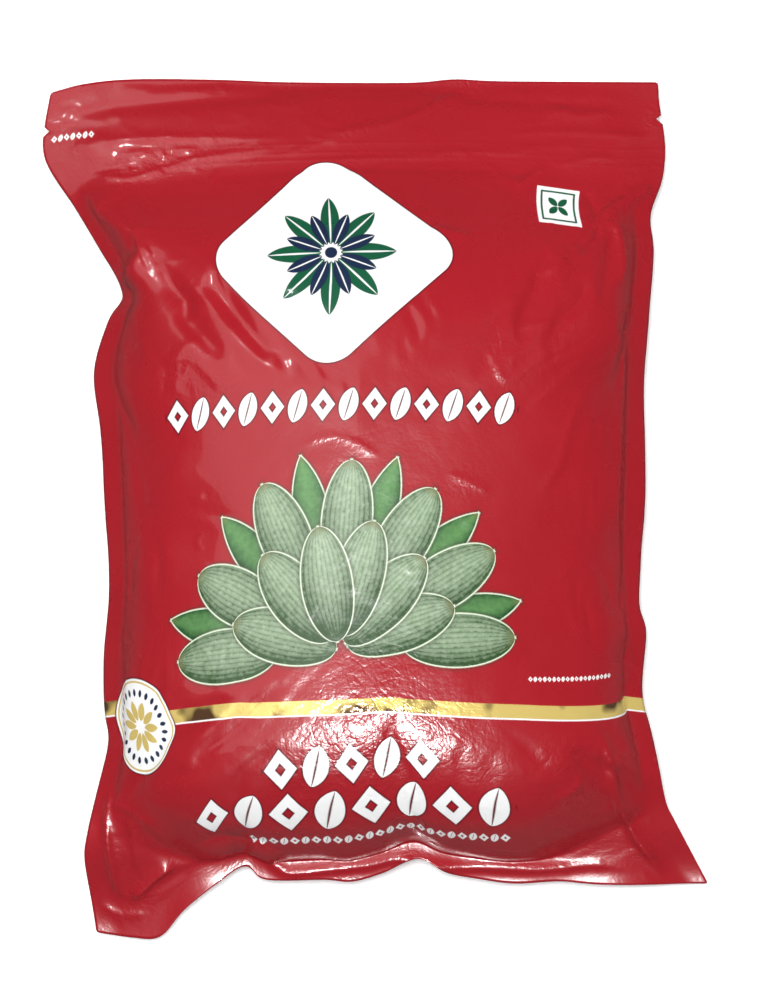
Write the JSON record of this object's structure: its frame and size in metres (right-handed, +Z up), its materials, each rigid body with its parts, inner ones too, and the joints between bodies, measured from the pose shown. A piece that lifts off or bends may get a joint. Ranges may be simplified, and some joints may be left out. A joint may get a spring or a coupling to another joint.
{
  "type": "filled zip pouch of green cardamom pods",
  "caption": "Heavy printed film pouch with a press-to-close zip and heat-sealed edges, filled with green cardamom pods and lying on its back.",
  "frame": {"origin": "under the middle of the pouch's box, on the surface that it lies on", "axes": "+Y along the pouch towards the zip end, +Z up out of the printed front, +X to the right of someone who reads the front"},
  "size_m": [0.2684, 0.3472, 0.06],
  "materials": {
    "printed_film": "glossy red printed laminate",
    "zip_plastic": "milky",
    "pod_husk": "dry, matt green husk"
  },
  "bodies": {
    "root": {"film_front": "printed_film", "film_back": "printed_film", "zip_rib_strip": "zip_plastic", "zip_groove_strip": "zip_plastic", "cardamom_pods": "pod_husk"}
  },
  "joints": []
}
